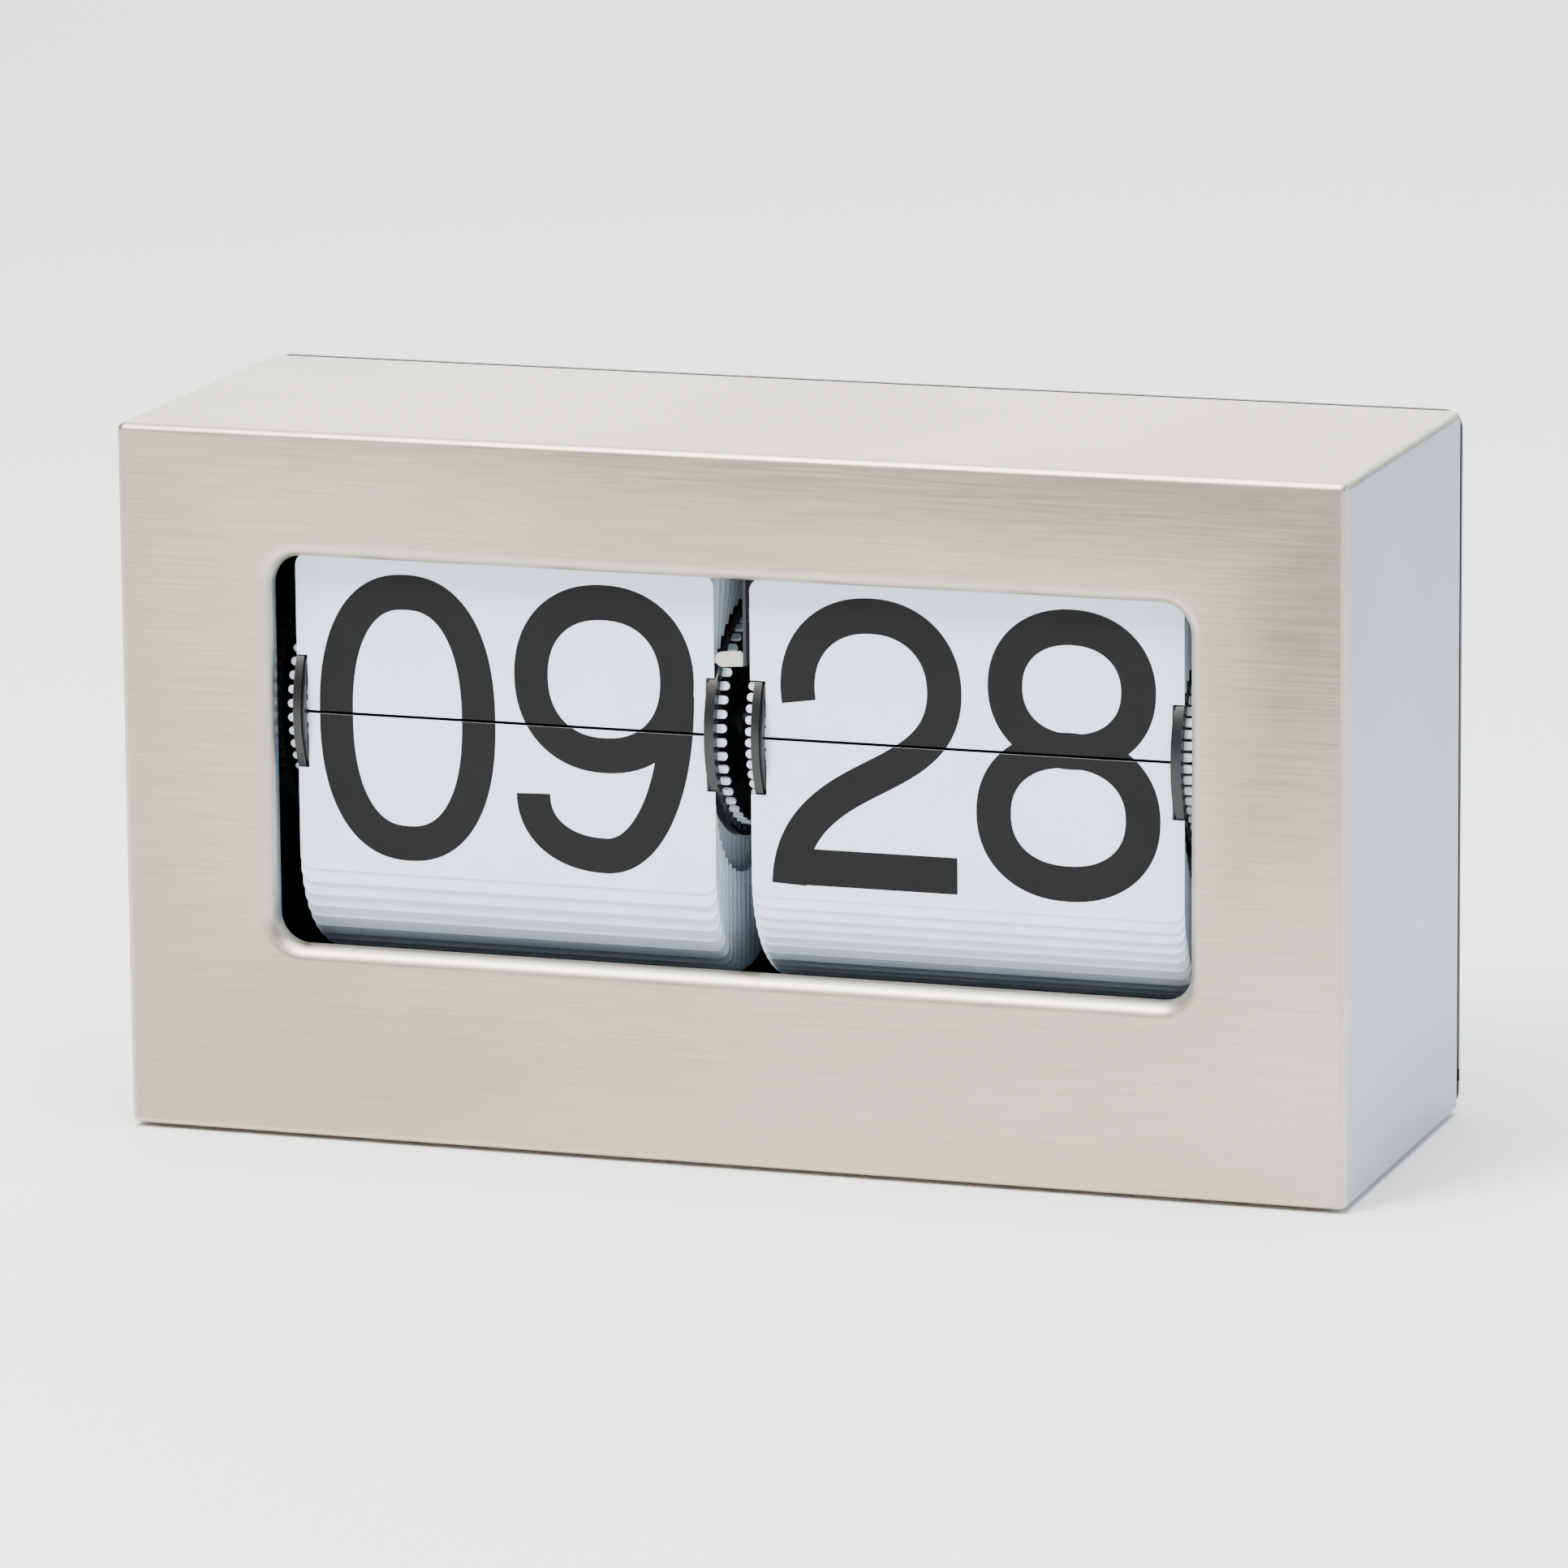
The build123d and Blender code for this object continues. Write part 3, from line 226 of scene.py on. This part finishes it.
METAL = {"Metallic": 1.0}
FINISH = {
    "brushed_steel": brushed_stainless(),
    # injection-moulded ABS with a spark-eroded texture of about 0.4 mm
    "black_abs": finish("moulded_black_abs", "0D0E10", "16171A", 0.5, 2600.0, 2e-5, IOR=1.53),
    # calendered rigid PVC sheet: bluish white, satin, barely wavy
    "white_flap": finish("calendered_white_pvc", "D8EAF8", "E4F2FD", 0.42, 1800.0, 4e-6, IOR=1.53),
    # injection-moulded acetal, smooth and slippery, faint tool marks
    "drum_black": finish("moulded_black_acetal", "08090B", "0F1013", 0.36, 2600.0, 8e-6, IOR=1.48),
    "white_gear": finish("moulded_natural_acetal", "D9D5C8", "E6E2D6", 0.38, 2600.0, 6e-6, IOR=1.48),
    # bright steel rod, turning marks round it
    "turned_steel": finish(
        "turned_bright_steel", "A9A9AA", "C4C4C5", 0.24, 700.0, 6e-6, (6, 1, 1), **METAL
    ),
    # pressed and sintered bronze, finely porous
    "bronze": finish("sintered_bronze", "8C6A3C", "A98350", 0.42, 4000.0, 2e-5, **METAL),
    # rolled spring strip with a nickel plate
    "nickel": finish("nickel_plated_spring_steel", "A8A39A", "BEB9B0", 0.3, 1500.0, 4e-6, **METAL),
    # compression-moulded rubber, dull and grainy
    "rubber": finish("moulded_rubber", "121212", "1C1C1C", 0.8, 1500.0, 5e-5, IOR=1.5),
    # cold-headed screws in black zinc plate
    "zinc_screw": finish("black_zinc_screw", "3B3C3F", "55565A", 0.34, 1500.0, 6e-6, **METAL),
    "cell_jacket": printed_jacket(),
    "copper_wire": enamelled_winding(),
    # lacquered glass-fibre laminate
    "board_green": finish("glass_fibre_board", "123D22", "1B5330", 0.34, 900.0, 1e-5, IOR=1.5),
    # extruded soft PVC round stranded wire
    "red_lead": finish("extruded_red_insulation", "7E120E", "911812", 0.35, 1200.0, 6e-6, IOR=1.5),
    "black_lead": finish("extruded_black_insulation", "101010", "191919", 0.35, 1200.0, 6e-6, IOR=1.5),
}
# screen-printed matt ink: soot black with a slight tooth
INK = finish("screen_printed_ink", "0B0B0D", "121214", 0.62, 2400.0, 2e-6, Specular_IOR_Level=0.2)
# seamless white paper roll
FLOOR = finish("pale_paper_sweep", "F7F8F9", "FBFCFD", 0.85, 300.0, 1e-5, cloud=1.5)

for subpart in frame["record"]["subparts"]:
    node = frame["nodes"][subpart["node"]]
    node.data.materials.clear()
    node.data.materials.append(FINISH[subpart["material_slot"]])
SLOT_OF = {subpart["node"]: subpart["material_slot"] for subpart in frame["record"]["subparts"]}


# ---- pieces --------------------------------------------------------------------------------
def new_piece(name, mesh, body, material):
    """A named piece in the frame, riding on a body."""
    piece = bpy.data.objects.new(name, mesh)
    bpy.context.scene.collection.objects.link(piece)
    mesh.materials.clear()
    mesh.materials.append(material)
    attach(piece, body)
    return piece


WELD = 2e-6
SMOOTH_BELOW = radians(30.0)


def smooth_copy(node_name, body):
    """A welded copy of a node, shaded smooth round its bends, that stands for the node."""
    mesh = frame["nodes"][node_name].data.copy()
    bm = bmesh.new()
    bm.from_mesh(mesh)
    bmesh.ops.remove_doubles(bm, verts=bm.verts, dist=WELD)
    for face in bm.faces:
        face.smooth = True
    for edge in bm.edges:
        edge.smooth = len(edge.link_faces) == 2 and edge.calc_face_angle(0.0) < SMOOTH_BELOW
    bm.to_mesh(mesh)
    bm.free()
    slot = SLOT_OF[node_name]
    piece = new_piece(node_name + "_shape", mesh, body, FINISH[slot])
    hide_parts(node_name)


BODY_OF = {node: body for body, nodes in frame["record"]["behaviour"]["bodies"].items() for node in nodes}
for node_name in SLOT_OF:
    smooth_copy(node_name, BODY_OF[node_name])


# ---- numerals ------------------------------------------------------------------------------
# millimetres on a flap
STROKE = 5.6
FOOT_STROKE = 5.8
LEFT_NUMERAL_X = -16.27
RIGHT_NUMERAL_X = 16.5
INK_T = 0.012
SPLIT_GAP = 0.23
SAME_POINT = 1e-6
NUMERAL_WELD = 1e-4
# the flap behind the front one pivots this many steps above the split
SECOND_PIVOT_STEPS = 1.5


def arc(centre, radii, start, stop, power=2.0, steps=48):
    """Points along an ellipse, or a fuller oval where power is above 2, angles in degrees."""
    points = []
    for i in range(steps + 1):
        angle = radians(start + (stop - start) * i / steps)
        c, s = cos(angle), sin(angle)
        x = abs(c) ** (2 / power) * (1 if c >= 0 else -1)
        z = abs(s) ** (2 / power) * (1 if s >= 0 else -1)
        points.append(Vector((centre[0] + radii[0] * x, centre[1] + radii[1] * z)))
    return points


def bend(p0, p1, p2, p3, steps=24):
    """Points along a cubic curve."""
    points = [Vector(p) for p in (p0, p1, p2, p3)]
    line = []
    for i in range(steps + 1):
        t = i / steps
        u = 1 - t
        line.append(
            points[0] * u**3 + points[1] * 3 * u * u * t + points[2] * 3 * u * t * t + points[3] * t**3
        )
    return line


def numeral_lines(numeral):
    """The centre lines of one numeral about its own middle, in millimetres, and their widths."""
    if numeral == "0":
        return [(arc((0, -0.2), (11.9, 20.1), 0, 360, 2.35, 96), STROKE)]
    if numeral == "8":
        return [
            (arc((0.5, 10.45), (10.7, 9.75), 0, 360, 2.15, 72), STROKE),
            (arc((-0.1, -9.6), (12.0, 10.5), 0, 360, 2.2, 72), STROKE),
        ]
    if numeral == "9":
        return [
            (arc((0, 7.85), (12.05, 12.15), 0, 360, 2.2, 72), STROKE),
            (
                arc((0, 6.0), (12.05, 26.3), 0, -90, 2.1, 36)[:-1]
                + arc((0, -11.0), (11.9, 9.3), -90, -180, 2.2, 24),
                STROKE,
            ),
        ]
    top = arc((0.9, 8.6), (11.9, 11.6), 191, 0, 2.15, 48)
    slope = bend((12.8, 8.6), (12.8, 0.2), (6.0, -2.6), (-0.8, -6.4))
    heel = bend((-0.8, -6.4), (-8.0, -10.4), (-12.4, -15.0), (-12.6, -22.9))
    return [
        (top[:-1] + slope[:-1] + heel, STROKE),
        ([Vector((-12.6, -20.0)), Vector((14.8, -20.0))], FOOT_STROKE),
    ]


def ribbon(bm, line, width, lift):
    """A flat band along a line, in the plane of local X and Z."""
    count = len(line)
    closed = (line[0] - line[-1]).length < SAME_POINT
    rails = []
    for i, point in enumerate(line):
        before = line[i - 1] if i else (line[-2] if closed else point)
        after = line[i + 1] if i < count - 1 else (line[1] if closed else point)
        along = (after - before).normalized()
        out = Vector((-along.y, along.x)) * width / 2
        rails.append([bm.verts.new((p.x, lift, p.y)) for p in (point + out, point - out)])
    for (a, b), (c, d) in zip(rails, rails[1:]):
        bm.faces.new((a, b, d, c))


def numeral_mesh(name, text, upper, gap):
    """Both numerals of one flap, cut at the split, flat about the drum's middle, in mm."""
    bm = bmesh.new()
    for numeral, middle in zip(text, (LEFT_NUMERAL_X, RIGHT_NUMERAL_X)):
        for layer, (line, width) in enumerate(numeral_lines(numeral)):
            moved = [Vector((point.x + middle, point.y)) for point in line]
            ribbon(bm, moved, width, -layer * INK_T / 3)
    bmesh.ops.remove_doubles(bm, verts=bm.verts, dist=NUMERAL_WELD)
    edge = gap if upper else -gap
    bmesh.ops.bisect_plane(
        bm,
        geom=bm.verts[:] + bm.edges[:] + bm.faces[:],
        plane_co=(0, 0, edge),
        plane_no=(0, 0, 1),
        clear_inner=upper,
        clear_outer=not upper,
    )
    grown = bmesh.ops.extrude_face_region(bm, geom=bm.faces[:])
    raised = [item for item in grown["geom"] if isinstance(item, bmesh.types.BMVert)]
    bmesh.ops.translate(bm, verts=raised, vec=(0, -INK_T, 0))
    bmesh.ops.recalc_face_normals(bm, faces=bm.faces[:])
    mesh = bpy.data.meshes.new(name)
    bm.to_mesh(mesh)
    bm.free()
    return mesh


def on_leaf(mesh, drum, pivot, lean, reach_of):
    """Lay flat numerals on a flap: reach_of gives the way along the flap for a height."""
    half_sheet = (drum["back_y"] - drum["front_y"]) / 2
    up = Vector((0, sin(lean), cos(lean)))
    out = Vector((0, -cos(lean), sin(lean)))
    for vertex in mesh.vertices:
        x, depth, z = vertex.co * MM
        vertex.co = pivot + up * reach_of(z) + out * (half_sheet - depth)
        vertex.co.x = drum["middle"] + x
    mesh.update()


for drum_name, drum in DRUMS.items():
    pivot = Vector((0, drum["plane_y"], drum["pivot_z"]))
    low_pivot = Vector((0, drum["plane_y"], drum["low_pivot_z"]))
    half = drum["pivot_z"] - AXIS.z
    turn = 2 * pi / drum["flaps"]

    front = numeral_mesh(f"{drum_name}_numerals_upper", drum["numerals"], True, SPLIT_GAP)
    on_leaf(front, drum, pivot, 0.0, lambda z: z - half)
    new_piece(front.name, front, f"{drum_name}_front_flap", INK)

    lower = numeral_mesh(f"{drum_name}_numerals_lower", drum["numerals"], False, SPLIT_GAP)
    on_leaf(lower, drum, low_pivot, 0.0, lambda z: z + half)
    new_piece(lower.name, lower, "case", INK)

    radius = half / sin(turn / 2)
    second = turn * SECOND_PIVOT_STEPS
    next_pivot = Vector((0, AXIS.y - radius * cos(second), AXIS.z + radius * sin(second)))
    coming = numeral_mesh(f"{drum_name}_numerals_next", drum["next"], True, half / MM)
    on_leaf(coming, drum, next_pivot, turn, lambda z: z - half)
    new_piece(coming.name, coming, "case", INK)

    back = numeral_mesh(f"{drum_name}_numerals_behind", drum["next"], False, SPLIT_GAP)
    on_leaf(back, drum, pivot, 0.0, lambda z: -z - half)
    for vertex in back.vertices:
        vertex.co.y = 2 * drum["plane_y"] - vertex.co.y
    new_piece(back.name, back, f"{drum_name}_front_flap", INK)


# ---- moulded ribs, laid out by geometry nodes --------------------------------------------------
RIB_LAYOUT = (
    ("Count", "NodeSocketInt"),
    ("Ring Radius", "NodeSocketFloat"),
    ("Step", "NodeSocketVector"),
    ("Rib Radius", "NodeSocketFloat"),
    ("Rib Length", "NodeSocketFloat"),
    ("Rib Axis", "NodeSocketVector"),
    ("Place", "NodeSocketVector"),
    ("Material", "NodeSocketMaterial"),
)


def rib_tree(kind):
    """A node tree that sets small round-topped ribs in a ring about X, or in a straight row."""
    tree = bpy.data.node_groups.new(f"ribs_in_a_{kind}", "GeometryNodeTree")
    for name, socket_type in RIB_LAYOUT:
        tree.interface.new_socket(name, in_out="INPUT", socket_type=socket_type)
    tree.interface.new_socket("Geometry", in_out="OUTPUT", socket_type="NodeSocketGeometry")
    given = add(tree, "NodeGroupInput").outputs
    bar = add(
        tree, "GeometryNodeMeshCylinder", Vertices=14, Radius=given["Rib Radius"], Depth=given["Rib Length"]
    ).outputs["Mesh"]
    bar = add(tree, "GeometryNodeTransform", Geometry=bar, Rotation=given["Rib Axis"]).outputs[0]
    if kind == "ring":
        points = add(
            tree, "GeometryNodeMeshCircle", Vertices=given["Count"], Radius=given["Ring Radius"]
        ).outputs[0]
        index = add(tree, "GeometryNodeInputIndex").outputs[0]
        part = add(tree, "ShaderNodeMath", {"operation": "DIVIDE"}, i0=index, i1=given["Count"]).outputs[0]
        angle = add(tree, "ShaderNodeMath", {"operation": "MULTIPLY"}, i0=part, i1=2 * pi).outputs[0]
        heading = add(tree, "ShaderNodeCombineXYZ", Z=angle).outputs[0]
    else:
        points = add(tree, "GeometryNodeMeshLine", Count=given["Count"], Offset=given["Step"]).outputs[0]
        heading = add(tree, "ShaderNodeCombineXYZ").outputs[0]
    row = add(
        tree, "GeometryNodeInstanceOnPoints", Points=points, Instance=bar, Rotation=heading
    ).outputs[0]
    upright = (0, pi / 2, 0) if kind == "ring" else (0, 0, 0)
    row = add(tree, "GeometryNodeTransform", Geometry=row, Rotation=upright).outputs[0]
    row = add(tree, "GeometryNodeTransform", Geometry=row, Translation=given["Place"]).outputs[0]
    solid = add(tree, "GeometryNodeRealizeInstances", Geometry=row).outputs[0]
    solid = add(tree, "GeometryNodeSetMaterial", Geometry=solid, Material=given["Material"]).outputs[0]
    add(tree, "NodeGroupOutput", Geometry=solid)
    return tree


def ribs(name, tree, body, slot, values):
    """Lay the ribs out through a modifier, then keep them as one plain mesh on a body."""
    maker = bpy.data.objects.new(name + "_maker", bpy.data.meshes.new(name + "_maker"))
    bpy.context.scene.collection.objects.link(maker)
    modifier = maker.modifiers.new("ribs", "NODES")
    modifier.node_group = tree
    for item in tree.interface.items_tree:
        if item.in_out == "INPUT" and item.name in values:
            modifier[item.identifier] = values[item.name]
    depsgraph = bpy.context.evaluated_depsgraph_get()
    mesh = bpy.data.meshes.new_from_object(maker.evaluated_get(depsgraph))
    maker.modifiers.remove(modifier)
    bpy.data.objects.remove(maker)
    mesh.name = name
    for polygon in mesh.polygons:
        polygon.use_smooth = len(polygon.vertices) == 4
    new_piece(name, mesh, body, FINISH[slot])


RING_TREE = rib_tree("ring")
ROW_TREE = rib_tree("row")
RIB_RING_R = 17.1 * MM
RIB_R = 0.2 * MM
RIB_L = 2.3 * MM
for drum_name, drum in DRUMS.items():
    for word, side in (("left", 0), ("right", 1)):
        face_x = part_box(f"{drum_name}_{word}_flange")[side][0]
        ribs(
            f"{drum_name}_{word}_flange_ribs",
            RING_TREE,
            f"{drum_name}_drum",
            "drum_black",
            {
                "Count": drum["flaps"],
                "Ring Radius": RIB_RING_R,
                "Rib Radius": RIB_R,
                "Rib Length": RIB_L,
                "Rib Axis": (0, pi / 2, 0),
                "Place": (face_x, AXIS.y, AXIS.z),
                "Material": FINISH["drum_black"],
            },
        )

GRIP_COUNT = 9
GRIP_STEP = 1.5 * MM
GRIP_R = 0.3 * MM
GRIP_L = 3.6 * MM
GRIP_BELOW_TOP = 4.75 * MM
GRIP_SINK = 0.6 * MM
door_low, door_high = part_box("battery_door")
ribs(
    "battery_door_grip",
    ROW_TREE,
    "battery_door",
    "black_abs",
    {
        "Count": GRIP_COUNT,
        "Step": (GRIP_STEP, 0, 0),
        "Rib Radius": GRIP_R,
        "Rib Length": GRIP_L,
        "Rib Axis": (0, 0, 0),
        "Place": (-GRIP_STEP * (GRIP_COUNT - 1) / 2, door_high[1] - GRIP_SINK, door_high[2] - GRIP_BELOW_TOP),
        "Material": FINISH["black_abs"],
    },
)


# ---- studio --------------------------------------------------------------------------------
FLOOR_HALF = 6.0
WORLD_STRENGTH = 0.42
LIT_CENTRE = Vector((0, 0, 0.06))


def studio():
    """A pale floor, a pale world and large soft lights."""
    mesh = bpy.data.meshes.new("studio_floor")
    half = FLOOR_HALF
    corners = [(-half, -half, 0), (half, -half, 0), (half, half, 0), (-half, half, 0)]
    mesh.from_pydata(corners, [], [(0, 1, 2, 3)])
    floor = bpy.data.objects.new("studio_floor", mesh)
    bpy.context.scene.collection.objects.link(floor)
    mesh.materials.append(FLOOR)

    world = bpy.data.worlds.new("studio_world")
    bpy.context.scene.world = world
    world.use_nodes = True
    background = world.node_tree.nodes["Background"]
    background.inputs["Color"].default_value = srgb("F2F4F6")
    background.inputs["Strength"].default_value = WORLD_STRENGTH

    for name, place, size_m, power, colour in (
        ("overhead_softbox", (0.0, -0.15, 1.5), 1.2, 50.0, "FFFFFF"),
        ("key_softbox", (-0.45, -0.85, 1.3), 0.5, 38.0, "FFFCF6"),
        ("backdrop_softbox", (-0.3, 2.3, 0.9), 2.2, 75.0, "FFFFFF"),
        ("side_softbox", (1.5, 0.3, 0.6), 0.9, 14.0, "C8DEFF"),
    ):
        light = bpy.data.lights.new(name, "AREA")
        light.size = size_m
        light.energy = power
        light.color = srgb(colour)[:3]
        lamp = bpy.data.objects.new(name, light)
        lamp.location = place
        lamp.rotation_euler = (LIT_CENTRE - Vector(place)).to_track_quat("-Z", "Y").to_euler()
        bpy.context.scene.collection.objects.link(lamp)


VIEW_AZIMUTH = 18.557
VIEW_ELEVATION = 11.997
VIEW_ROLL = -0.5015
VIEW_DISTANCE = 1.564
LOOK_AT = Vector((0.00508, -0.0197, 0.0589))
SENSOR_MM = 36.0
LENS_MM = 230.1


def camera():
    """The camera: a long lens from the front right, a little above."""
    azimuth, elevation = radians(VIEW_AZIMUTH), radians(VIEW_ELEVATION)
    back = Vector((cos(elevation) * sin(azimuth), -cos(elevation) * cos(azimuth), sin(elevation)))
    right = Vector((cos(azimuth), sin(azimuth), 0))
    up = back.cross(right)
    turn = Matrix((right, up, back)).transposed().to_4x4()
    data = bpy.data.cameras.new("studio_camera")
    data.sensor_width = SENSOR_MM
    data.lens = LENS_MM
    data.clip_start = 0.05
    data.clip_end = 50.0
    eye = bpy.data.objects.new("studio_camera", data)
    eye.matrix_world = Matrix.Translation(LOOK_AT + back * VIEW_DISTANCE) @ turn @ Matrix.Rotation(
        radians(VIEW_ROLL), 4, "Z"
    )
    bpy.context.scene.collection.objects.link(eye)
    bpy.context.scene.camera = eye


studio()
camera()
